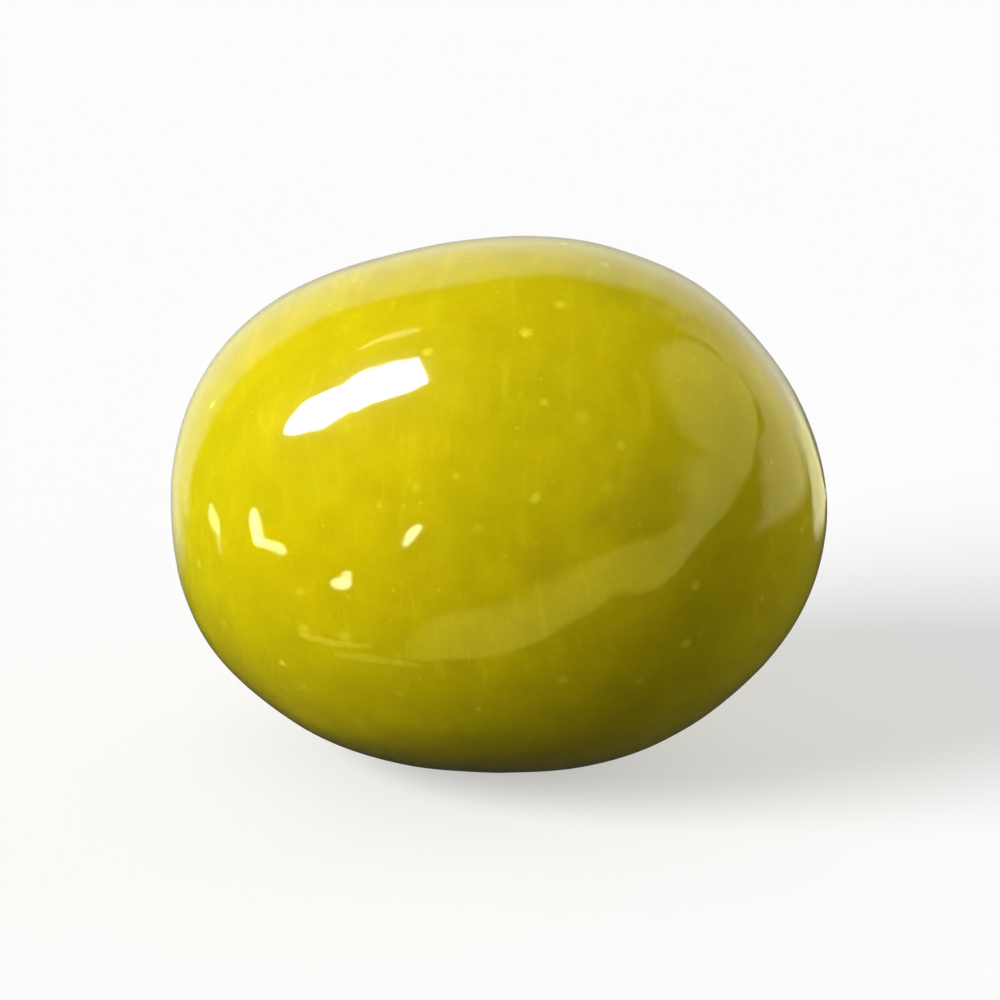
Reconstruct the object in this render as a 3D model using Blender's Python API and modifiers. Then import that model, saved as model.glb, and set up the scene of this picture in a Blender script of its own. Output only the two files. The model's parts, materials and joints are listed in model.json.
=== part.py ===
"""A cured green olive lying on its side, as one solid, in metres with +Z up.

The fruit's long axis runs along X. Its stem end, with the pit that the stalk came out of and the
scar left in it, points to -X, and its tip, with the small point of the style, to +X. The origin is
on the surface that the olive rests on, under the middle of its bounding box.
"""

import math

import bmesh
import bpy
from mathutils import Matrix, Vector

# Driving dimensions of the fruit
LENGTH = 0.0270
WIDTH = 0.0225
FLATTENING = 0.985  # height over width of the cross-section
PLUMPNESS = 2.04  # exponent of the oval: 2 is an ellipse, and more is fuller at the shoulders
STEM_FULLNESS = 0.010  # how much wider the stem half is than the tip half, as a share
TIP_RISE = math.radians(4.5)  # slope of the long axis, with the tip end raised

# Stem end: a shallow dish, the pit in its middle and the scar standing in the pit
DISH_RADIUS = 0.0068
DISH_DEPTH = 0.00040
PIT_RADIUS = 0.0019
PIT_DEPTH = 0.00085
SCAR_RADIUS = 0.00105
SCAR_HEIGHT = 0.00030

# Tip end: the low point that the style leaves
POINT_RADIUS = 0.0024
POINT_HEIGHT = 0.00014

# The flat spot that the fruit rests on: how far its lowest point is pressed up, and how far above
# and below the flat the soft edge round it reaches
REST_DEPTH = 0.00034
REST_EDGE = 0.00010

# Shallow dents where the soft flesh has been pressed: how far along the axis (-1 at the stem, 1 at
# the tip), the turn about it in degrees from the top towards the front, the depth and the reach.
PRESSED_SPOTS = (
    (-0.20, 340, 0.00040, 0.0085),
    (0.90, 335, 0.00028, 0.0075),
    (0.45, 40, 0.00020, 0.0075),
    (0.30, 92, 0.00022, 0.0080),
    (-0.72, 150, 0.00016, 0.0070),
    (-0.10, 160, 0.00024, 0.0080),
    (-0.62, 262, 0.00026, 0.0080),
    (0.52, 292, 0.00022, 0.0075),
)

# How finely the solid is cut
TURNS = 64
BODY_STATIONS = 34
PIT_STATION_STEP = 0.00026
POINT_STATION_STEP = 0.00050
FINE_REACH = 1.25  # how far the closer stations reach, as a share of the pit's or point's radius

SKIN_COLOUR = (0.50, 0.43, 0.012, 1.0)
SKIN_ROUGHNESS = 0.18

HALF_LENGTH = LENGTH / 2
HALF_WIDTH = WIDTH / 2
MERGE_DISTANCE = 0.000005


def clear_scene():
    for obj in list(bpy.data.objects):
        bpy.data.objects.remove(obj, do_unlink=True)


def fade(distance, reach):
    """1 at no distance, falling smoothly to 0 at reach."""
    share = max(0.0, 1.0 - distance / reach)
    return share * share * (3.0 - 2.0 * share)


def skin_point(angle):
    """(radius, height) of the standing fruit's outline; angle is 0 at the stem and pi at the tip."""
    across = math.sin(angle)
    along = math.cos(angle)
    radius = HALF_WIDTH * across ** (2 / PLUMPNESS) * (1.0 + STEM_FULLNESS * along)
    height = HALF_LENGTH * math.copysign(abs(along) ** (2 / PLUMPNESS), along)
    if along > 0:
        height -= DISH_DEPTH * fade(radius, DISH_RADIUS)
        height -= PIT_DEPTH * fade(radius, PIT_RADIUS)
        height += SCAR_HEIGHT * fade(radius, SCAR_RADIUS)
    else:
        height -= POINT_HEIGHT * fade(radius, POINT_RADIUS)
    return radius, height


def angle_at(radius):
    """The outline's angle, on the stem side, where it is about this far from the axis."""
    return math.asin((radius / HALF_WIDTH) ** (PLUMPNESS / 2))


def station_angles():
    """Angles from the stem to the tip, closer together in the pit and at the point."""
    pit_steps = round(FINE_REACH * PIT_RADIUS / PIT_STATION_STEP)
    point_steps = round(FINE_REACH * POINT_RADIUS / POINT_STATION_STEP)
    pit = [angle_at(i * PIT_STATION_STEP) for i in range(pit_steps + 1)]
    point = [math.pi - angle_at(i * POINT_STATION_STEP) for i in range(point_steps, -1, -1)]
    step = (point[0] - pit[-1]) / BODY_STATIONS
    body = [pit[-1] + i * step for i in range(1, BODY_STATIONS)]
    return pit + body + point


def turned_fruit(name):
    """The fruit standing on its tip, turned from its outline."""
    outline = [skin_point(angle) for angle in station_angles()]
    outline[0] = (0.0, outline[0][1])
    outline[-1] = (0.0, outline[-1][1])
    mesh = bpy.data.meshes.new(name)
    mesh.from_pydata(
        [(radius, 0.0, height) for radius, height in outline],
        [(i, i + 1) for i in range(len(outline) - 1)],
        [],
    )
    fruit = bpy.data.objects.new(name, mesh)
    screw = fruit.modifiers.new("Turn", "SCREW")
    screw.axis = "Z"
    screw.angle = 2 * math.pi
    screw.steps = TURNS
    screw.render_steps = TURNS
    screw.use_merge_vertices = True
    screw.merge_threshold = MERGE_DISTANCE
    return fruit


def make_mesh_final(obj):
    """Takes the modifiers' result as the object's own mesh."""
    graph = bpy.context.evaluated_depsgraph_get()
    final = bpy.data.meshes.new_from_object(obj.evaluated_get(graph))
    obj.modifiers.clear()
    obj.data = final


def lay_down(bm):
    """Turns the standing fruit so that its stem points to -X, and flattens its cross-section."""
    quarter_turn = Matrix.Rotation(-math.pi / 2, 4, "Y")
    flatten = Matrix.Diagonal((1.0, 1.0, FLATTENING, 1.0))
    bmesh.ops.transform(bm, matrix=flatten @ quarter_turn, verts=bm.verts)


def press_spots(bm):
    """Pushes the skin in at each pressed spot, fading out over its reach."""
    for along, turn, depth, reach in PRESSED_SPOTS:
        around = math.radians(turn)
        ring = HALF_WIDTH * math.sqrt(1.0 - along * along)
        spot = Vector((along * HALF_LENGTH, -ring * math.sin(around), ring * math.cos(around)))
        outward = Vector((spot.x / HALF_LENGTH**2, spot.y / HALF_WIDTH**2, spot.z / HALF_WIDTH**2))
        inward = -outward.normalized()
        for vert in bm.verts:
            vert.co += inward * depth * fade((vert.co - spot).length, reach)


def press_underside(bm):
    """Presses the underside flat where the fruit rests, and makes that flat one face."""
    flat = min(vert.co.z for vert in bm.verts) + REST_DEPTH
    for vert in bm.verts:
        above = vert.co.z - flat
        if above < -REST_EDGE:
            vert.co.z = flat
        elif above < REST_EDGE:
            vert.co.z = flat + (above + REST_EDGE) ** 2 / (4 * REST_EDGE)
    lowest = min(vert.co.z for vert in bm.verts)
    resting = [face for face in bm.faces if all(vert.co.z == lowest for vert in face.verts)]
    bmesh.ops.dissolve_faces(bm, faces=resting)


def stand_on_origin(bm):
    """Moves the middle of the bounding box's bottom to the origin."""
    lows = [min(vert.co[axis] for vert in bm.verts) for axis in range(3)]
    highs = [max(vert.co[axis] for vert in bm.verts) for axis in range(3)]
    middle = Vector(((lows[0] + highs[0]) / 2, (lows[1] + highs[1]) / 2, lows[2]))
    bmesh.ops.translate(bm, vec=-middle, verts=bm.verts)


def skin_material():
    material = bpy.data.materials.new("olive_skin")
    material.use_nodes = True
    shader = material.node_tree.nodes["Principled BSDF"]
    shader.inputs["Base Color"].default_value = SKIN_COLOUR
    shader.inputs["Roughness"].default_value = SKIN_ROUGHNESS
    shader.inputs["Metallic"].default_value = 0.0
    return material


def build_olive():
    collection = bpy.data.collections.new("green_olive")
    bpy.context.scene.collection.children.link(collection)
    olive = turned_fruit("olive")
    collection.objects.link(olive)
    make_mesh_final(olive)

    bm = bmesh.new()
    bm.from_mesh(olive.data)
    bmesh.ops.remove_doubles(bm, verts=bm.verts, dist=MERGE_DISTANCE)
    for face in bm.faces:
        face.smooth = True
    lay_down(bm)
    press_spots(bm)
    bmesh.ops.rotate(bm, matrix=Matrix.Rotation(-TIP_RISE, 3, "Y"), verts=bm.verts)
    press_underside(bm)
    stand_on_origin(bm)
    bmesh.ops.recalc_face_normals(bm, faces=bm.faces)
    bm.to_mesh(olive.data)
    bm.free()
    olive.data.materials.clear()
    olive.data.materials.append(skin_material())


clear_scene()
build_olive()
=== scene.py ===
"""Looks for the green olive: its fine wet skin, the corky scar in its stem pit and the spot at its
tip, on a pale floor in soft studio light.

The fruit's own axes run along X from the stem to the tip, before it is leant by TIP_RISE. Lengths
are in metres.
"""

import json
import math
import random

import bmesh
import bpy
from mathutils import Matrix, Vector

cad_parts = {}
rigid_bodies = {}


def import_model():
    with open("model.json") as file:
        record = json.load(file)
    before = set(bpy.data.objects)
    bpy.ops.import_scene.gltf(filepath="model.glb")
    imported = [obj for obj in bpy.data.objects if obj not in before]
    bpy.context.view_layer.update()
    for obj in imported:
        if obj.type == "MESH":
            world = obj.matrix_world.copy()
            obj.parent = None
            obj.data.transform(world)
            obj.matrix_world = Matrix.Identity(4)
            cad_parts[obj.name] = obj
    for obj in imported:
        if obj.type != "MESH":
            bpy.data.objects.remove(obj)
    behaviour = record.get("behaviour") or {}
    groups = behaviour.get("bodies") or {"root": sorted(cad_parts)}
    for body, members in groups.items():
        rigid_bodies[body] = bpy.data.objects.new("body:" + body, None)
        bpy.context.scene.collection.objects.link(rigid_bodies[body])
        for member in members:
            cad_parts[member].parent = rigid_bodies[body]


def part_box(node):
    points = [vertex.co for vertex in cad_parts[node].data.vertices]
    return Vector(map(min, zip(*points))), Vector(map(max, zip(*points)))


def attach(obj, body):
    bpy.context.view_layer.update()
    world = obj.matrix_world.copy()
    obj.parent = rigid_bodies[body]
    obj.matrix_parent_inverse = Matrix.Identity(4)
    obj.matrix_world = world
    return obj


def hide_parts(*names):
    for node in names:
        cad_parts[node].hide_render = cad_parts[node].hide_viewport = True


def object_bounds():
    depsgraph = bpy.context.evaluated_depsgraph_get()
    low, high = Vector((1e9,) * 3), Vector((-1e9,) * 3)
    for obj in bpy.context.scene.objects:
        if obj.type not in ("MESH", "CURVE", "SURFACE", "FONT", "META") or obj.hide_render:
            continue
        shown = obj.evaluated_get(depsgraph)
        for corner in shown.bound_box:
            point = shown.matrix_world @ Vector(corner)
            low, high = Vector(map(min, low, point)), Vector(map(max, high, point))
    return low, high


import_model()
cad_low, cad_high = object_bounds()

# The fruit's own dimensions, those of its solid but for a lower point at the tip
LENGTH = 0.0270
WIDTH = 0.0225
FLATTENING = 0.985
PLUMPNESS = 2.04
STEM_FULLNESS = 0.010
TIP_RISE = math.radians(4.5)
DISH_RADIUS = 0.0068
DISH_DEPTH = 0.00040
PIT_RADIUS = 0.0019
PIT_DEPTH = 0.00085
SCAR_RADIUS = 0.00105
SCAR_HEIGHT = 0.00030
POINT_RADIUS = 0.0024
POINT_HEIGHT = 0.00005
REST_DEPTH = 0.00034
HALF_LENGTH = LENGTH / 2
HALF_WIDTH = WIDTH / 2

# Shallow dents: how far along the axis, the turn about it in degrees from the top towards the
# front, the depth and the reach
PRESSED_SPOTS = (
    (-0.20, 340, 0.00040, 0.0085),
    (0.90, 335, 0.00028, 0.0075),
    (0.45, 40, 0.00020, 0.0075),
    (0.30, 92, 0.00022, 0.0080),
    (-0.72, 150, 0.00016, 0.0070),
    (-0.10, 160, 0.00024, 0.0080),
    (-0.62, 262, 0.00026, 0.0080),
    (0.52, 292, 0.00022, 0.0075),
)

# How finely the skin is modelled, and how often it is then subdivided
SPOKES = 72
CAP_RADIUS = 0.00050
BODY_RINGS = 44
PIT_RING_STEP = 0.00018
POINT_RING_STEP = 0.00035
FINE_REACH = 1.25
SUBDIVISIONS = 2

# How a cap's ring and the vertices of the flat are told from the rest
CAP_MARGIN = 1.1
ON_CAP = 1e-6
ON_FLAT = 1e-7

# Chance places a groove within SPOKE_DRAW of its even place, and multiplies each measure below by
# a number within the DRAW that follows it
SPOKE_DRAW = (-0.3, 0.3)

# Puckers: fine grooves that run out from the pit, and a rim that they leave uneven
PUCKER_SEED = 11
PUCKERS = 11
PUCKER_START = 0.0014
PUCKER_START_DRAW = (0.9, 1.3)
PUCKER_LENGTH = 0.001
PUCKER_LENGTH_DRAW = (0.6, 2.2)
PUCKER_DEPTH = 0.00006
PUCKER_DEPTH_DRAW = (0.5, 1.3)
PUCKER_REACH = 0.00045
RIM_HEIGHT = 0.00007
RIM_REACH = 0.0011

# The scar: its grooves, and hollows at its middle, each with its place across and up, its depth
# and its reach
SCAR_SEED = 5
SCAR_GROOVES = 13
SCAR_GROOVE_START = 0.00045
SCAR_GROOVE_START_DRAW = (1.0, 1.4)
SCAR_GROOVE_END = 0.00115
SCAR_GROOVE_DEPTH = 0.00007
SCAR_GROOVE_DEPTH_DRAW = (0.6, 1.4)
SCAR_GROOVE_REACH = 0.00022
SCAR_HOLLOWS = (
    (0.0, 0.0, 0.00016, 0.00042),
    (0.00030, 0.00022, 0.00005, 0.00025),
    (-0.00026, 0.00030, 0.00006, 0.00022),
    (-0.00014, -0.00034, 0.00005, 0.00024),
)

# The tip's point: moves of its end along the axis, each with its reach
TIP_POINT = ((0.00003, 0.00060), (0.00003, 0.00030), (-0.00005, 0.00014))

# Waves of the skin and of the scar: the size of the waves and the whole height between crest and
# trough
SKIN_WAVES = (
    ("slow_waves", 0.0090, 0.00022),
    ("short_waves", 0.0026, 0.000035),
    ("fine_waves", 0.0008, 0.000008),
)
SCAR_WAVES = (
    ("scar_lumps", 0.00045, 0.00012),
    ("scar_crumbs", 0.00018, 0.00007),
)
FLAT_REACH = 0.0030  # from the middle of the flat, how far the skin stays still
STILL_EDGE = 0.0030
SCAR_CORE = 0.0005  # off the axis, how far the scar's waves keep their whole height
SCAR_EDGE = 0.0008

# Marks in the skin: their place in the fruit's own axes, how far they reach and how strong they are
PALE_MARKS = (
    ((0.00273, -0.00566, 0.00913), 0.00036, 1.0),
    ((0.00391, -0.00399, 0.00970), 0.00036, 0.6),
    ((0.00507, -0.00799, 0.00635), 0.00045, 0.3),
    ((0.00599, -0.00918, 0.00385), 0.00040, 0.3),
    ((-0.00637, -0.00987, -0.00150), 0.00040, 0.5),
    ((-0.00463, -0.01049, -0.00162), 0.00042, 0.5),
    ((-0.00133, -0.01026, 0.00444), 0.00030, 0.4),
    ((0.00104, -0.01071, 0.00286), 0.00032, 0.3),
    ((-0.01008, -0.00730, -0.00215), 0.00034, 0.3),
    ((-0.00683, -0.00866, -0.00438), 0.00036, 0.3),
)
BRUISES = (
    ((0.0035, -0.0106, 0.0013), 0.0016, 0.22),
    ((0.0074, -0.0087, 0.0030), 0.0028, 0.22),
    ((0.0086, 0.0060, 0.0040), 0.0022, 0.30),
    ((-0.0040, 0.0092, 0.0055), 0.0018, 0.30),
)
MARK_CORE = 0.1  # the share of a mark's reach over which it is whole

# Noises in the skin: the size of their waves, how many finer layers they have and how bent they are
NOISE_MIDDLE = 0.5
CLOUDS = (0.0065, 2.0, 0.6)
MOTTLING = (0.0016, 3.0, 0.0)
CELLS = (0.00022, 2.0, 0.0)
STREAKS = (0.00060, 2.0, 0.4)
STROKES = (0.00036, 2.0, 0.4)
RAGGED = (0.0012, 2.0, 0.0)
CRUMBS = (0.00026, 3.0, 0.0)
STREAK_SQUEEZE = (1.0, 0.22, 0.22)  # draws the streaks and strokes out round the fruit
UNEVENNESS = (0.00030, 0.00030)  # of round marks: the size of its waves and how far they shift
RAGGED_EDGE = 0.0011  # how far the edges of the pit's and the tip's colours wander

# Pale pores: the size of the cells that they lie in, and their smallest and largest radius
LARGE_PORES = (0.00160, 0.00010, 0.00034)
SMALL_PORES = (0.00065, 0.00007, 0.00015)
SMALL_PORE_CHANCE = 0.30
SMALL_PORE_STRENGTH = 0.45
SPECK_STRENGTH = 0.95

# How the skin changes: where a change starts and where it is full, by the strength of a noise or by
# a place in the fruit's own axes, and then how strong it is at both, where that isn't 0 and 1
CLOUDS_GREENER = (0.42, 0.68, 0.0, 0.28)
STEM_GREENER = (-0.0060, -0.0125, 0.0, 0.45)
MOTTLED_SHADE = (0.30, 0.70, 0.95, 1.04)
CELL_SHADE = (0.3, 0.7, 0.975, 1.02)
STREAKS_SHOW = (0.54, 0.78, 0.0, 0.30)
STROKES_SHOW = (0.62, 0.72, 0.0, 0.28)
BETWEEN_CLOUDS = (0.60, 0.40)
LARGE_PORE_CHANCE = (0.35, 0.62, 0.25, 0.75)
PORE_EDGE = (1.0, 0.30)
PORE_STRENGTH = (0.0, 1.0, 0.35, 1.0)
PAST_PIT = (0.0016, 0.0026)
PIT_WALL = (0.0021, 0.0012, 0.0, 0.75)
CORK = (0.00122, 0.00104)
CRUMBS_SHOW = (0.36, 0.66)
DARK_CORK_EDGE = (0.00088, 0.00110, 0.0, 0.75)
DARK_CORK_MIDDLE = (0.00038, 0.00014, 0.0, 0.80)
TIP_HALO = (0.0011, 0.0003, 0.0, 0.55)
TIP_SPOT = (0.00028, 0.00012, 0.0, 0.8)

# The skin's colours
RIPE_COLOUR = (0.67, 0.548, 0.001, 1)
GREENER_COLOUR = (0.55, 0.50, 0.002, 1)
STREAK_COLOUR = (0.84, 0.72, 0.012, 1)
BRUISE_COLOUR = (0.36, 0.25, 0.01, 1)
SPECK_COLOUR = (0.95, 0.86, 0.035, 1)
PIT_WALL_COLOUR = (0.30, 0.225, 0.012, 1)
CORK_COLOUR = (0.17, 0.098, 0.030, 1)
CRUMB_COLOUR = (0.36, 0.245, 0.095, 1)
DARK_CORK_COLOUR = (0.060, 0.032, 0.010, 1)
TIP_HALO_COLOUR = (0.36, 0.26, 0.012, 1)
TIP_SPOT_COLOUR = (0.15, 0.085, 0.020, 1)

# The skin's gloss: a clear wet coat over flesh that light sinks into, duller where it is dry
SKIN_ROUGHNESS = (0.3, 0.7, 0.27, 0.36)  # by the mottling, a change like those above
WET_COAT = (0.0, 1.0, 1.0, 0.30)  # by the dryness, a change like those above
SPOT_DRYNESS = 0.7
DRY_ROUGHNESS = 0.5
COAT_ROUGHNESS = 0.065
COAT_IOR = 1.40
SKIN_SPECULAR = 0.01
SCATTER_SHARE = 0.55
SCATTER_BY_COLOUR = (1.0, 0.65, 0.08)
SCATTER_DEPTH = 0.0012
CELL_HEIGHT = 0.000003

# Camera
CAMERA_AZIMUTH = math.radians(8)
CAMERA_ELEVATION = math.radians(20)
CAMERA_LENS = 240
SENSOR_WIDTH = 36
PICTURE_WIDTH = 0.0405  # what the picture takes in at the fruit
NEAREST_SEEN = 0.01
FARTHEST_SEEN = 10

# Lamps that the wet skin mirrors: their form, from where to where on the outline they are seen, as
# shares of its half width and half height, how thick they are at LAMP_DISTANCE, how bright and
# of what colour
LAMP_DISTANCE = 0.5
WHITE = (1.0, 1.0, 1.0)
WARM = (1.0, 1.0, 0.50)
GOLD = (1.0, 0.93, 0.15)
LAMPS = (
    ("window", "RECTANGLE", (-0.460, 0.391), (-0.248, 0.500), 0.136, 45.0, WHITE),
    ("window_end", "ELLIPSE", (-0.648, 0.262), (-0.385, 0.430), 0.130, 45.0, WHITE),
    ("window_ledge", "ELLIPSE", (-0.423, 0.563), (-0.263, 0.631), 0.026, 5.0, WARM),
    ("slit", "ELLIPSE", (-0.846, 0.022), (-0.826, -0.085), 0.032, 9.0, WARM),
    ("slit_foot", "ELLIPSE", (-0.832, -0.060), (-0.808, -0.165), 0.024, 4.0, WARM),
    ("corner_post", "ELLIPSE", (-0.722, 0.000), (-0.704, -0.138), 0.040, 26.0, WARM),
    ("corner_sill", "ELLIPSE", (-0.720, -0.125), (-0.636, -0.174), 0.030, 23.0, WARM),
    ("low_lamp", "ELLIPSE", (-0.507, -0.292), (-0.464, -0.284), 0.031, 30.0, WARM),
    ("low_lamp_top", "ELLIPSE", (-0.480, -0.284), (-0.464, -0.246), 0.024, 20.0, WARM),
    ("front_lamp", "ELLIPSE", (-0.257, -0.146), (-0.247, -0.086), 0.037, 27.0, WARM),
    ("upper_wisp", "ELLIPSE", (-0.610, -0.446), (-0.370, -0.490), 0.030, 2.8, GOLD),
    ("lower_wisp", "ELLIPSE", (-0.500, -0.525), (-0.220, -0.562), 0.038, 1.8, GOLD),
)

# Soft suns that light the skin: the way to them, how wide they are and how strong
SUNS = (
    ("daylight", (-0.72, -0.45, 0.45), math.radians(35), 3.6),
    ("back_light", (0.78, 0.62, 0.04), math.radians(40), 1.0),
)

# The floor
FLOOR_SIZE = 8
FLOOR_COLOUR = (0.55, 0.55, 0.55, 1)
FLOOR_ROUGHNESS = 0.8
FLOOR_GLOW = 0.482

# The studio that the wet skin mirrors. A card reaches as far as its edges: the line that an edge
# lies across, how far along it the card starts, and how far along it the card is whole
RIGHT = (1, 0, 0)
AWAY = (0, 1, 0)
UP = (0, 0, 1)
TOP_TO_TABLE = (0, 0.83, -0.55)
STRAIGHT_BEHIND = (-0.13, 0.93, -0.34)
BACK_WALL = (
    ((-0.30, 0.95, 0), 0.58, 0.72),
    ((-0.015, 1, -0.118), 0.45, 0.57),
    (UP, -0.30, -0.20),
)
LEFT_WALL = (
    ((0.35, 0.94, 0), 0.10, 0.50),
    (RIGHT, 0.1, -0.1),
    (UP, 0.20, 0.04),
    (UP, -0.45, -0.30),
)
CARD = (((0.77, 0.59, -0.26), 0.18, 0.42), (TOP_TO_TABLE, 0.34, 0.31), (RIGHT, 0.990, 0.974))
CARD_TOP = (((0.78, 0.27, 0.56), 0.90, 0.94),)
CARD_FOOT = ((UP, 0.60, 0.42),)
TABLE = (
    ((0.54, 0.02, -0.84), 0.30, 0.38),
    (AWAY, 0.1, -0.1),
    (AWAY, -0.98, -0.86),
    (RIGHT, -0.42, -0.02),
)
ABOVE_TABLE_EDGE = (((-0.45, -0.43, 0.78), -0.335, -0.285), (UP, -0.37, -0.33))
ABOVE_TABLE_END = (((-0.34, -0.85, 0.40), 0.305, 0.335),)
FAR_CARD = (
    ((0.72, 0.41, 0.55), 0.962, 0.945),
    (TOP_TO_TABLE, 0.06, 0.22),
    (TOP_TO_TABLE, 0.82, 0.62),
    (RIGHT, 0.25, 0.55),
    (UP, -0.22, -0.10),
)
DOOR = (((0.36, 0.90, -0.24), 0.978, 0.992), (UP, -0.38, -0.31))
WALL_DIP = (0.99, 0.88, 0.50, 1.0)  # the wall's light straight behind, and off to the sides
DARKNESS = 0.03
NEAR_LIGHT = (2.35, 2.20, 0.74, 1)
TABLE_LIGHT = (2.5, 2.33, 0.35, 1)
FAR_LIGHT = (1.75, 1.58, 0.86, 1)
DOOR_LIGHT = (1.5, 1.45, 0.95, 1)
BACKGROUND = (0.985, 0.985, 0.985, 1)

# The soft fill that lights the skin: where it starts and is whole along a line, and its strength
BEHIND_FILL = (-0.2, 1.0, 0.22, 0.42)
BEHIND_FILL_BY_HEIGHT = (-0.45, 0.4, 0.10, 1.12)
RIGHT_FILL = (0.1, 1.0, 0.0, 0.26)
RIGHT_FILL_BELOW = (-0.75, -0.15, 0.25, 1.0)
RIGHT_FILL_ABOVE = (0.85, 0.15, 0.40, 1.0)


def fade(distance, reach):
    """1 at no distance, falling smoothly to 0 at reach."""
    share = min(1.0, max(0.0, 1.0 - distance / reach))
    return share * share * (3.0 - 2.0 * share)


# Selecting and shaping, in edit mode


def deselect_everything():
    for obj in bpy.context.scene.objects:
        obj.select_set(False)
    bpy.context.view_layer.objects.active = None


def select_verts(piece, wanted):
    """Selects just the vertices whose place passes the test."""
    bpy.ops.mesh.select_all(action="DESELECT")
    bm = bmesh.from_edit_mesh(piece.data)
    for vert in bm.verts:
        if wanted(vert.co):
            vert.select = True
    bm.select_flush(True)
    bmesh.update_edit_mesh(piece.data)


def select_nearest(piece, place):
    bm = bmesh.from_edit_mesh(piece.data)
    nearest = min(bm.verts, key=lambda vert: (vert.co - place).length_squared).co.copy()
    select_verts(piece, lambda co: co == nearest)


def push_selected(move, reach):
    """Moves what is selected, and the skin round it less and less, out to its reach."""
    bpy.ops.transform.translate(
        value=move,
        use_proportional_edit=True,
        proportional_edit_falloff="SMOOTH",
        proportional_size=reach,
    )


# The fruit's form


def skin_ring(angle):
    """(place along X, radius) of a ring of the skin; angle is 0 at the stem and pi at the tip."""
    across = math.sin(angle)
    along = math.cos(angle)
    radius = HALF_WIDTH * across ** (2 / PLUMPNESS) * (1.0 + STEM_FULLNESS * along)
    height = HALF_LENGTH * math.copysign(abs(along) ** (2 / PLUMPNESS), along)
    if along > 0:
        height -= DISH_DEPTH * fade(radius, DISH_RADIUS)
        height -= PIT_DEPTH * fade(radius, PIT_RADIUS)
        height += SCAR_HEIGHT * fade(radius, SCAR_RADIUS)
    else:
        height -= POINT_HEIGHT * fade(radius, POINT_RADIUS)
    return -height, radius


def angle_at(radius):
    """The angle, on the stem side, of the ring that is about this wide."""
    return math.asin((radius / HALF_WIDTH) ** (PLUMPNESS / 2))


def ring_angles():
    """Angles of the rings from the stem's cap to the tip's, closer together near both ends."""
    pit_steps = round((FINE_REACH * PIT_RADIUS - CAP_RADIUS) / PIT_RING_STEP)
    point_steps = round((FINE_REACH * POINT_RADIUS - CAP_RADIUS) / POINT_RING_STEP)
    pit = [angle_at(CAP_RADIUS + i * PIT_RING_STEP) for i in range(pit_steps + 1)]
    point = [
        math.pi - angle_at(CAP_RADIUS + i * POINT_RING_STEP) for i in range(point_steps, -1, -1)
    ]
    step = (point[0] - pit[-1]) / BODY_RINGS
    return pit + [pit[-1] + i * step for i in range(1, BODY_RINGS)] + point


def draw_out_body():
    """The skin from cap to cap: a ring at the stem, extruded and resized on to the tip."""
    rings = [skin_ring(angle) for angle in ring_angles()]
    place, radius = rings[0]
    bpy.ops.mesh.primitive_circle_add(
        vertices=SPOKES,
        radius=radius,
        fill_type="NOTHING",
        location=(place, 0, 0),
        rotation=(0, math.pi / 2, 0),
    )
    fruit = bpy.context.object
    fruit.name = "olive_fruit"
    fruit.data.name = "olive_fruit"
    bpy.ops.object.transform_apply(location=True, rotation=True, scale=True)
    bpy.ops.object.mode_set(mode="EDIT")
    bpy.ops.mesh.select_mode(type="VERT")
    bpy.ops.mesh.select_all(action="SELECT")
    for next_place, next_radius in rings[1:]:
        bpy.ops.mesh.extrude_region_move(
            TRANSFORM_OT_translate={"value": (next_place - place, 0, 0)}
        )
        grow = next_radius / radius
        bpy.ops.transform.resize(value=(1, grow, grow), center_override=(next_place, 0, 0))
        place, radius = next_place, next_radius
    return fruit, rings


def close_ends(fruit, rings):
    """Closes both ends with a grid of small faces."""
    for place, radius in (rings[0], rings[-1]):
        end = Vector((place, 0, 0))
        reach = radius * CAP_MARGIN
        select_verts(fruit, lambda co: (co - end).length < reach and abs(co.x - place) < ON_CAP)
        bpy.ops.mesh.fill_grid(span=SPOKES // 4)


def dent_skin(fruit):
    for along, turn, depth, reach in PRESSED_SPOTS:
        around = math.radians(turn)
        ring = HALF_WIDTH * math.sqrt(1.0 - along * along)
        spot = Vector((along * HALF_LENGTH, -ring * math.sin(around), ring * math.cos(around)))
        outward = Vector((spot.x / HALF_LENGTH**2, spot.y / HALF_WIDTH**2, spot.z / HALF_WIDTH**2))
        select_nearest(fruit, spot)
        push_selected(-outward.normalized() * depth, reach)


def drawn_spoke(chance, number, count):
    """The way out from the axis along a spoke, drawn near one of a count of even places."""
    spoke = round((number + chance.uniform(*SPOKE_DRAW)) * SPOKES / count)
    turn = 2 * math.pi * spoke / SPOKES
    return Vector((0, math.cos(turn), math.sin(turn)))


def spoke_strip(way, start, end):
    """A test for the vertices of the stem half along one spoke, from start to end off the axis."""

    def on_strip(co):
        across = Vector((0, co.y, co.z))
        near = start < across.length < end and co.x < 0
        return near and across.normalized().dot(way) > math.cos(math.pi / SPOKES)

    return on_strip


def pucker_pit(fruit):
    """Draws fine grooves out from the pit, each along one spoke, and makes its rim uneven."""
    chance = random.Random(PUCKER_SEED)
    for i in range(PUCKERS):
        way = drawn_spoke(chance, i, PUCKERS)
        start = PUCKER_START * chance.uniform(*PUCKER_START_DRAW)
        end = start + PUCKER_LENGTH * chance.uniform(*PUCKER_LENGTH_DRAW)
        depth = PUCKER_DEPTH * chance.uniform(*PUCKER_DEPTH_DRAW)

        select_verts(fruit, spoke_strip(way, start, end))
        push_selected((depth, 0, 0), PUCKER_REACH)
        rim = Vector((-HALF_LENGTH + DISH_DEPTH, 0, 0)) + way * PIT_RADIUS
        select_nearest(fruit, rim)
        push_selected((RIM_HEIGHT * chance.uniform(-1, 1), 0, 0), RIM_REACH)


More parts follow.
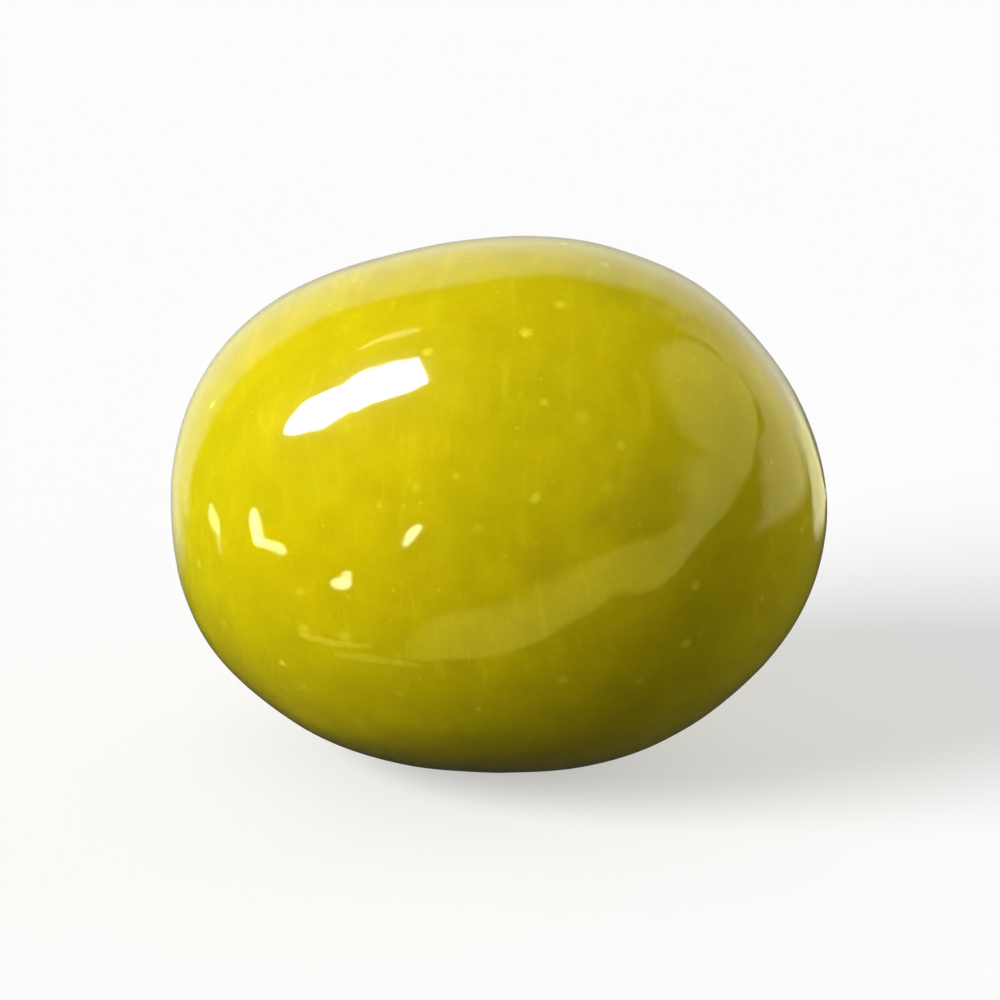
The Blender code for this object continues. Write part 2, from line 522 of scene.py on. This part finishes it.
def groove_scar(fruit):
    """Draws short grooves round the scar's edge and sinks its middle, where the stalk's threads
    came through."""
    chance = random.Random(SCAR_SEED)
    for i in range(SCAR_GROOVES):
        way = drawn_spoke(chance, i, SCAR_GROOVES)
        start = SCAR_GROOVE_START * chance.uniform(*SCAR_GROOVE_START_DRAW)
        select_verts(fruit, spoke_strip(way, start, SCAR_GROOVE_END))
        depth = SCAR_GROOVE_DEPTH * chance.uniform(*SCAR_GROOVE_DEPTH_DRAW)
        push_selected((depth, 0, 0), SCAR_GROOVE_REACH)
    stem_side = [vert.co.x for vert in bmesh.from_edit_mesh(fruit.data).verts if vert.co.x < 0]
    for across, height, depth, reach in SCAR_HOLLOWS:
        select_nearest(fruit, Vector((min(stem_side), across, height)))
        push_selected((depth, 0, 0), reach)


def draw_out_point(fruit):
    """Draws the tip's small point out of the skin and dimples its end."""
    end = Vector((HALF_LENGTH, 0, 0))
    for move, reach in TIP_POINT:
        select_nearest(fruit, end)
        push_selected((move, 0, 0), reach)


def settle(fruit):
    """Leans the fruit to its slope, presses its underside flat and returns the flat's middle."""
    bpy.ops.object.mode_set(mode="OBJECT")
    fruit.rotation_euler = (0, -TIP_RISE, 0)
    bpy.ops.object.transform_apply(location=True, rotation=True, scale=True)
    flat = min(vert.co.z for vert in fruit.data.vertices) + REST_DEPTH
    bpy.ops.object.mode_set(mode="EDIT")
    select_verts(fruit, lambda co: co.z < flat)
    bpy.ops.transform.resize(value=(1, 1, 0), center_override=(0, 0, flat))
    bpy.ops.object.mode_set(mode="OBJECT")
    on_flat = [vert.co for vert in fruit.data.vertices if vert.co.z < flat + ON_FLAT]
    return sum(on_flat, Vector()) / len(on_flat)


def apply_modifier(piece, modifier):
    bpy.context.view_layer.objects.active = piece
    bpy.ops.object.modifier_apply(modifier=modifier.name)


def weigh(piece, name, weight):
    """A vertex group whose weight is worked out from each vertex's place."""
    group = piece.vertex_groups.new(name=name)
    for vert in piece.data.vertices:
        group.add([vert.index], weight(vert.co), "REPLACE")


def raise_and_sink(piece, name, size, height, group):
    """Waves of this size and whole height in the skin, as far as the vertex group reaches."""
    texture = bpy.data.textures.new(name, "CLOUDS")
    texture.noise_scale = size
    lift = piece.modifiers.new(name, "DISPLACE")
    lift.texture = texture
    lift.texture_coords = "LOCAL"
    lift.strength = height
    lift.mid_level = NOISE_MIDDLE
    lift.vertex_group = group
    apply_modifier(piece, lift)


def lean_back(co):
    """A place of the leant fruit in the fruit's own axes."""
    return Matrix.Rotation(TIP_RISE, 3, "Y") @ co


def scar_share(co):
    """How much of the scar's waves a place of the leant fruit takes."""
    own = lean_back(co)
    return fade(math.hypot(own.y, own.z) - SCAR_CORE, SCAR_EDGE) if own.x < 0 else 0.0


def place_on_solid(fruit):
    """Moves the fruit so that its box has the same middle and floor as its solid's box, and
    returns the move."""
    low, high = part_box("olive")
    lows = [min(vert.co[axis] for vert in fruit.data.vertices) for axis in range(3)]
    highs = [max(vert.co[axis] for vert in fruit.data.vertices) for axis in range(3)]
    place = Vector(
        (
            (low.x + high.x - lows[0] - highs[0]) / 2,
            (low.y + high.y - lows[1] - highs[1]) / 2,
            low.z - lows[2],
        )
    )
    fruit.location = place
    bpy.ops.object.transform_apply(location=True, rotation=True, scale=True)
    return place


def make_fruit():
    """The fruit, and where the middle of its own axes ends up."""
    deselect_everything()
    fruit, rings = draw_out_body()
    close_ends(fruit, rings)
    bpy.ops.mesh.select_all(action="SELECT")
    bpy.ops.transform.resize(value=(1, 1, FLATTENING), center_override=(0, 0, 0))
    bpy.ops.mesh.normals_make_consistent(inside=False)
    dent_skin(fruit)
    pucker_pit(fruit)
    groove_scar(fruit)
    draw_out_point(fruit)
    flat = settle(fruit)

    smooth = fruit.modifiers.new("Smooth skin", "SUBSURF")
    smooth.levels = SUBDIVISIONS
    smooth.render_levels = SUBDIVISIONS
    apply_modifier(fruit, smooth)
    bpy.ops.object.shade_smooth()

    weigh(fruit, "free", lambda co: 1 - fade((co - flat).length - FLAT_REACH, STILL_EDGE))
    for wave in SKIN_WAVES:
        raise_and_sink(fruit, *wave, "free")
    weigh(fruit, "scar", scar_share)
    for wave in SCAR_WAVES:
        raise_and_sink(fruit, *wave, "scar")
    fruit.vertex_groups.clear()
    return fruit, place_on_solid(fruit)


# Shader nodes


def feed(tree, socket, value):
    """Links a socket to another, or sets it to a plain value."""
    if isinstance(value, bpy.types.NodeSocket):
        tree.links.new(value, socket)
    else:
        socket.default_value = value


def calculate(tree, operation, first, second):
    made = tree.nodes.new("ShaderNodeMath")
    made.operation = operation
    feed(tree, made.inputs[0], first)
    feed(tree, made.inputs[1], second)
    return made.outputs["Value"]


def multiply(tree, *shares):
    product = shares[0]
    for share in shares[1:]:
        product = calculate(tree, "MULTIPLY", product, share)
    return product


def brightest(tree, *lights):
    most = lights[0]
    for light in lights[1:]:
        most = calculate(tree, "MAXIMUM", most, light)
    return most


def zone(tree, value, start, full, low=0.0, high=1.0):
    """low where the value is at start or short of it, rising smoothly to high at full."""
    made = tree.nodes.new("ShaderNodeMapRange")
    made.interpolation_type = "SMOOTHSTEP"
    made.inputs["From Min"].default_value = start
    made.inputs["From Max"].default_value = full
    made.inputs["To Min"].default_value = low
    made.inputs["To Max"].default_value = high
    feed(tree, made.inputs["Value"], value)
    return made.outputs["Result"]


def towards(tree, direction, x, y, z):
    """How far a direction points the way of x, y, z: 1 when they are the same."""
    made = tree.nodes.new("ShaderNodeVectorMath")
    made.operation = "DOT_PRODUCT"
    feed(tree, made.inputs[0], direction)
    made.inputs[1].default_value = Vector((x, y, z)).normalized()
    return made.outputs["Value"]


def scaled(tree, place, *shares):
    """A place with each of its axes multiplied by its own share."""
    made = tree.nodes.new("ShaderNodeVectorMath")
    made.operation = "MULTIPLY"
    made.inputs[1].default_value = shares
    tree.links.new(place, made.inputs[0])
    return made.outputs[0]


def grain(tree, place, size, detail, distortion):
    """Noise from 0 to 1 whose waves are about this size."""
    made = tree.nodes.new("ShaderNodeTexNoise")
    feed(tree, made.inputs["Vector"], place)
    made.inputs["Scale"].default_value = 1 / size
    made.inputs["Detail"].default_value = detail
    made.inputs["Distortion"].default_value = distortion
    return made.outputs["Fac"]


def tint(tree, share, under, over, way="MIX"):
    """Lays one colour over another by a share."""
    made = tree.nodes.new("ShaderNodeMix")
    made.data_type = "RGBA"
    made.blend_type = way
    feed(tree, made.inputs["Factor"], share)
    feed(tree, made.inputs["A"], under)
    feed(tree, made.inputs["B"], over)
    return made.outputs["Result"]


# The skin's finish


def own_axes(tree, centre):
    """A place in the fruit's own axes, and how far along them it is."""
    where = tree.nodes.new("ShaderNodeTexCoord")
    lean = tree.nodes.new("ShaderNodeMapping")
    lean.vector_type = "TEXTURE"
    lean.inputs["Location"].default_value = centre
    lean.inputs["Rotation"].default_value = (0, -TIP_RISE, 0)
    tree.links.new(where.outputs["Object"], lean.inputs["Vector"])
    place = lean.outputs["Vector"]
    split = tree.nodes.new("ShaderNodeSeparateXYZ")
    tree.links.new(place, split.inputs[0])
    return place, split.outputs["X"]


def off_axis(tree, place):
    """How far a place is from the fruit's long axis."""
    measure = tree.nodes.new("ShaderNodeVectorMath")
    measure.operation = "LENGTH"
    tree.links.new(scaled(tree, place, 0, 1, 1), measure.inputs[0])
    return measure.outputs["Value"]


def roughened(tree, place, size, amount):
    """The place, shifted here and there by noise, so that round marks get uneven edges."""
    made = tree.nodes.new("ShaderNodeTexNoise")
    made.inputs["Scale"].default_value = 1 / size
    tree.links.new(place, made.inputs["Vector"])
    centred = tree.nodes.new("ShaderNodeVectorMath")
    centred.operation = "SUBTRACT"
    centred.inputs[1].default_value = (NOISE_MIDDLE, NOISE_MIDDLE, NOISE_MIDDLE)
    tree.links.new(made.outputs["Color"], centred.inputs[0])
    moved = tree.nodes.new("ShaderNodeVectorMath")
    moved.operation = "MULTIPLY_ADD"
    moved.inputs[1].default_value = (amount, amount, amount)
    tree.links.new(centred.outputs[0], moved.inputs[0])
    tree.links.new(place, moved.inputs[2])
    return moved.outputs[0]


def pores(tree, place, cell, smallest, largest, chance):
    """Small soft spots, of random size, in some cells of a loose pattern."""
    made = tree.nodes.new("ShaderNodeTexVoronoi")
    made.inputs["Scale"].default_value = 1 / cell
    tree.links.new(place, made.inputs["Vector"])
    split = tree.nodes.new("ShaderNodeSeparateColor")
    tree.links.new(made.outputs["Color"], split.inputs[0])
    present, size, strength = split.outputs
    radius = zone(tree, size, 0.0, 1.0, smallest / cell, largest / cell)
    edge = calculate(tree, "DIVIDE", made.outputs["Distance"], radius)
    here = calculate(tree, "LESS_THAN", present, chance)
    return multiply(tree, zone(tree, edge, *PORE_EDGE), here, zone(tree, strength, *PORE_STRENGTH))


def mark(tree, place, spot, reach, ragged):
    """A soft mark round a spot, given in the fruit's own axes, with a ragged edge."""
    away = tree.nodes.new("ShaderNodeVectorMath")
    away.operation = "DISTANCE"
    tree.links.new(place, away.inputs[0])
    away.inputs[1].default_value = spot
    wander = multiply(tree, calculate(tree, "SUBTRACT", ragged, NOISE_MIDDLE), reach)
    edge = calculate(tree, "ADD", away.outputs["Value"], wander)
    return zone(tree, edge, reach, reach * MARK_CORE)


def marks(tree, place, spots, ragged):
    found = []
    for spot, reach, share in spots:
        found.append(multiply(tree, mark(tree, place, spot, reach, ragged), share))
    return brightest(tree, *found)


def ground_colour(tree, place, along, clouds, mottling, cells):
    """Ripe yellow on the belly, greener in clouds and towards the stem, with paler streaks round
    the fruit and faint bruises."""
    greener = calculate(
        tree, "ADD", zone(tree, clouds, *CLOUDS_GREENER), zone(tree, along, *STEM_GREENER)
    )
    colour = tint(tree, greener, RIPE_COLOUR, GREENER_COLOUR)
    shade = multiply(tree, zone(tree, mottling, *MOTTLED_SHADE), zone(tree, cells, *CELL_SHADE))
    colour = tint(tree, 1.0, colour, shade, "MULTIPLY")

    drawn = scaled(tree, place, *STREAK_SQUEEZE)
    streaks = zone(tree, grain(tree, drawn, *STREAKS), *STREAKS_SHOW)
    strokes = zone(tree, grain(tree, drawn, *STROKES), *STROKES_SHOW)
    strokes = multiply(tree, strokes, zone(tree, clouds, *BETWEEN_CLOUDS))
    colour = tint(tree, calculate(tree, "ADD", streaks, strokes), colour, STREAK_COLOUR)
    return tint(tree, marks(tree, place, BRUISES, mottling), colour, BRUISE_COLOUR)


def speck_share(tree, place, uneven, from_axis, clouds, cells):
    """Pale pores and marks, and none near the fruit's ends."""
    specks = brightest(
        tree,
        marks(tree, place, PALE_MARKS, cells),
        pores(tree, uneven, *LARGE_PORES, zone(tree, clouds, *LARGE_PORE_CHANCE)),
        multiply(tree, pores(tree, uneven, *SMALL_PORES, SMALL_PORE_CHANCE), SMALL_PORE_STRENGTH),
    )
    return multiply(tree, specks, zone(tree, from_axis, *PAST_PIT), SPECK_STRENGTH)


def cork_colour(tree, place, radius):
    """Brown cork with paler crumbs, dark round its edge and in its middle."""
    crumbs = zone(tree, grain(tree, place, *CRUMBS), *CRUMBS_SHOW)
    colour = tint(tree, crumbs, CORK_COLOUR, CRUMB_COLOUR)
    dark = brightest(
        tree, zone(tree, radius, *DARK_CORK_EDGE), zone(tree, radius, *DARK_CORK_MIDDLE)
    )
    return tint(tree, dark, colour, DARK_CORK_COLOUR)


def skin_material(centre):
    material = bpy.data.materials.new("olive_skin")
    material.use_nodes = True
    tree = material.node_tree
    shader = tree.nodes["Principled BSDF"]
    place, along = own_axes(tree, centre)
    from_axis = off_axis(tree, place)
    clouds = grain(tree, place, *CLOUDS)
    mottling = grain(tree, place, *MOTTLING)
    cells = grain(tree, place, *CELLS)
    uneven = roughened(tree, place, *UNEVENNESS)

    colour = ground_colour(tree, place, along, clouds, mottling, cells)
    specks = speck_share(tree, place, uneven, from_axis, clouds, cells)
    colour = tint(tree, specks, colour, SPECK_COLOUR)

    # The pit's brown wall and the corky scar in its middle
    ragged = calculate(tree, "SUBTRACT", grain(tree, place, *RAGGED), NOISE_MIDDLE)
    ragged_radius = calculate(tree, "ADD", from_axis, multiply(tree, ragged, RAGGED_EDGE))
    stem_half = calculate(tree, "LESS_THAN", along, 0.0)
    wall = multiply(tree, zone(tree, ragged_radius, *PIT_WALL), stem_half)
    cork = multiply(tree, zone(tree, ragged_radius, *CORK), stem_half)
    colour = tint(tree, wall, colour, PIT_WALL_COLOUR)
    colour = tint(tree, cork, colour, cork_colour(tree, place, ragged_radius))

    # The dry brown spot at the tip
    tip_half = calculate(tree, "GREATER_THAN", along, 0.0)
    halo = multiply(tree, zone(tree, ragged_radius, *TIP_HALO), tip_half)
    spot = multiply(tree, zone(tree, off_axis(tree, uneven), *TIP_SPOT), tip_half)
    colour = tint(tree, halo, colour, TIP_HALO_COLOUR)
    colour = tint(tree, spot, colour, TIP_SPOT_COLOUR)
    tree.links.new(colour, shader.inputs["Base Color"])

    # The gloss, duller where the scar and the spot are dry
    dry = brightest(tree, cork, multiply(tree, spot, SPOT_DRYNESS))
    roughness = calculate(
        tree, "ADD", zone(tree, mottling, *SKIN_ROUGHNESS), multiply(tree, dry, DRY_ROUGHNESS)
    )
    tree.links.new(roughness, shader.inputs["Roughness"])
    tree.links.new(zone(tree, dry, *WET_COAT), shader.inputs["Coat Weight"])
    shader.inputs["Coat Roughness"].default_value = COAT_ROUGHNESS
    shader.inputs["Coat IOR"].default_value = COAT_IOR
    shader.inputs["Specular IOR Level"].default_value = SKIN_SPECULAR
    shader.inputs["Subsurface Weight"].default_value = SCATTER_SHARE
    shader.inputs["Subsurface Radius"].default_value = SCATTER_BY_COLOUR
    shader.inputs["Subsurface Scale"].default_value = SCATTER_DEPTH

    bump = tree.nodes.new("ShaderNodeBump")
    bump.inputs["Strength"].default_value = 1.0
    bump.inputs["Distance"].default_value = CELL_HEIGHT
    tree.links.new(cells, bump.inputs["Height"])
    tree.links.new(bump.outputs["Normal"], shader.inputs["Normal"])
    return material


# Camera and light


def camera_axes():
    """Unit vectors to the right of the picture, to its top, and back to the camera."""
    back = Vector(
        (
            math.sin(CAMERA_AZIMUTH) * math.cos(CAMERA_ELEVATION),
            -math.cos(CAMERA_AZIMUTH) * math.cos(CAMERA_ELEVATION),
            math.sin(CAMERA_ELEVATION),
        )
    )
    right = Vector((math.cos(CAMERA_AZIMUTH), math.sin(CAMERA_AZIMUTH), 0))
    return right, back.cross(right), back


def set_camera(target):
    back = camera_axes()[2]
    camera = bpy.data.objects.new("camera", bpy.data.cameras.new("camera"))
    bpy.context.scene.collection.objects.link(camera)
    camera.data.lens = CAMERA_LENS
    camera.data.sensor_width = SENSOR_WIDTH
    camera.location = target + back * (PICTURE_WIDTH * CAMERA_LENS / SENSOR_WIDTH)
    camera.rotation_mode = "QUATERNION"
    camera.rotation_quaternion = (-back).to_track_quat("-Z", "Y")
    camera.data.clip_start = NEAREST_SEEN
    camera.data.clip_end = FARTHEST_SEEN
    bpy.context.scene.camera = camera


def mirrored_from(across, up_share):
    """The direction of what is mirrored at a place of the fruit's outline, given as shares of its
    half width and half height in the picture."""
    right, up, back = camera_axes()
    depth = math.sqrt(max(0.0, 1.0 - across**2 - up_share**2))
    normal = (right * across * HALF_WIDTH / HALF_LENGTH + up * up_share + back * depth).normalized()
    return 2 * normal.dot(back) * normal - back


def mirrored_lamp(target, name, form, start, end, thickness, radiance, colour):
    """A lamp that the wet skin mirrors from start to end of the outline, and that doesn't light
    the skin's own colour."""
    first = mirrored_from(*start) * LAMP_DISTANCE
    last = mirrored_from(*end) * LAMP_DISTANCE
    light = bpy.data.objects.new(name, bpy.data.lights.new(name, "AREA"))
    bpy.context.scene.collection.objects.link(light)
    light.data.shape = form
    light.data.size = (last - first).length
    light.data.size_y = thickness
    area = light.data.size * light.data.size_y * (1 if form == "RECTANGLE" else math.pi / 4)
    light.data.energy = radiance * math.pi * area
    light.data.color = colour
    middle = (first + last) / 2
    along = (last - first).normalized()
    side = middle.normalized().cross(along).normalized()
    light.rotation_mode = "QUATERNION"
    turn = Matrix((along, side, along.cross(side))).transposed()
    light.rotation_quaternion = turn.to_quaternion()
    light.location = target + middle
    light.visible_diffuse = False


def soft_sun(name, direction, width, strength):
    """A sun that lights the skin and isn't mirrored in it."""
    sun = bpy.data.objects.new(name, bpy.data.lights.new(name, "SUN"))
    bpy.context.scene.collection.objects.link(sun)
    sun.data.energy = strength
    sun.data.angle = width
    sun.rotation_mode = "QUATERNION"
    sun.rotation_quaternion = Vector(direction).to_track_quat("Z", "Y")
    sun.visible_glossy = False


def make_floor():
    """A pale floor that glows a little, that the camera sees and that takes the shadow."""
    bpy.ops.mesh.primitive_plane_add(size=FLOOR_SIZE, location=(0, 0, 0))
    floor = bpy.context.object
    floor.name = "floor"
    material = bpy.data.materials.new("pale_floor")
    material.use_nodes = True
    shader = material.node_tree.nodes["Principled BSDF"]
    shader.inputs["Base Color"].default_value = FLOOR_COLOUR
    shader.inputs["Roughness"].default_value = FLOOR_ROUGHNESS
    shader.inputs["Specular IOR Level"].default_value = 0.0
    shader.inputs["Emission Color"].default_value = (1, 1, 1, 1)
    shader.inputs["Emission Strength"].default_value = FLOOR_GLOW
    floor.data.materials.append(material)
    floor.visible_glossy = False
    floor.visible_diffuse = False


def card(tree, where, edges):
    """1 on a card and 0 off it, by the edges that it lies within."""
    within = [zone(tree, towards(tree, where, *line), start, full) for line, start, full in edges]
    return multiply(tree, *within)


def mirrored_studio(tree, where):
    """What the wet skin mirrors: a white wall behind, with a door in it, a large card to the right
    over its pale table, a farther card past it, and darkness in front."""
    above_table = brightest(
        tree, card(tree, where, ABOVE_TABLE_EDGE), card(tree, where, ABOVE_TABLE_END)
    )
    near_card = multiply(
        tree,
        card(tree, where, CARD),
        brightest(tree, card(tree, where, CARD_TOP), card(tree, where, CARD_FOOT)),
        above_table,
    )
    table = multiply(tree, card(tree, where, TABLE), above_table)
    walls = brightest(tree, card(tree, where, BACK_WALL), card(tree, where, LEFT_WALL))
    dip = zone(tree, towards(tree, where, *STRAIGHT_BEHIND), *WALL_DIP)
    mirrored = brightest(tree, multiply(tree, walls, dip), DARKNESS)
    mirrored = tint(tree, card(tree, where, DOOR), mirrored, DOOR_LIGHT)
    mirrored = tint(tree, card(tree, where, FAR_CARD), mirrored, FAR_LIGHT)
    mirrored = tint(tree, table, mirrored, TABLE_LIGHT)
    return tint(tree, near_card, mirrored, NEAR_LIGHT)


def soft_fill(tree, where):
    """The light that the studio gives the skin, from behind and above and from the right."""
    height = towards(tree, where, *UP)
    from_behind = multiply(
        tree,
        zone(tree, towards(tree, where, *AWAY), *BEHIND_FILL),
        zone(tree, height, *BEHIND_FILL_BY_HEIGHT),
    )
    from_right = multiply(
        tree,
        zone(tree, towards(tree, where, *RIGHT), *RIGHT_FILL),
        zone(tree, height, *RIGHT_FILL_BELOW),
        zone(tree, height, *RIGHT_FILL_ABOVE),
    )
    return calculate(tree, "ADD", from_behind, from_right)


def make_world():
    """The studio round the fruit: what is mirrored, what lights the skin, and the background."""
    world = bpy.data.worlds.new("studio")
    bpy.context.scene.world = world
    world.use_nodes = True
    world.cycles.sampling_method = "NONE"
    tree = world.node_tree
    where = tree.nodes.new("ShaderNodeTexCoord").outputs["Generated"]
    path = tree.nodes.new("ShaderNodeLightPath")
    mirrored = path.outputs["Is Glossy Ray"]
    light = tint(tree, mirrored, soft_fill(tree, where), mirrored_studio(tree, where))
    light = tint(tree, path.outputs["Is Camera Ray"], light, BACKGROUND)
    tree.links.new(light, tree.nodes["Background"].inputs["Color"])


fruit, centre = make_fruit()
fruit.data.materials.append(skin_material(centre))
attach(fruit, "root")
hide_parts("olive")

middle = (cad_low + cad_high) / 2
make_floor()
make_world()
set_camera(middle)
for lamp in LAMPS:
    mirrored_lamp(middle, *lamp)
for sun in SUNS:
    soft_sun(*sun)
bpy.context.scene.view_settings.view_transform = "Standard"
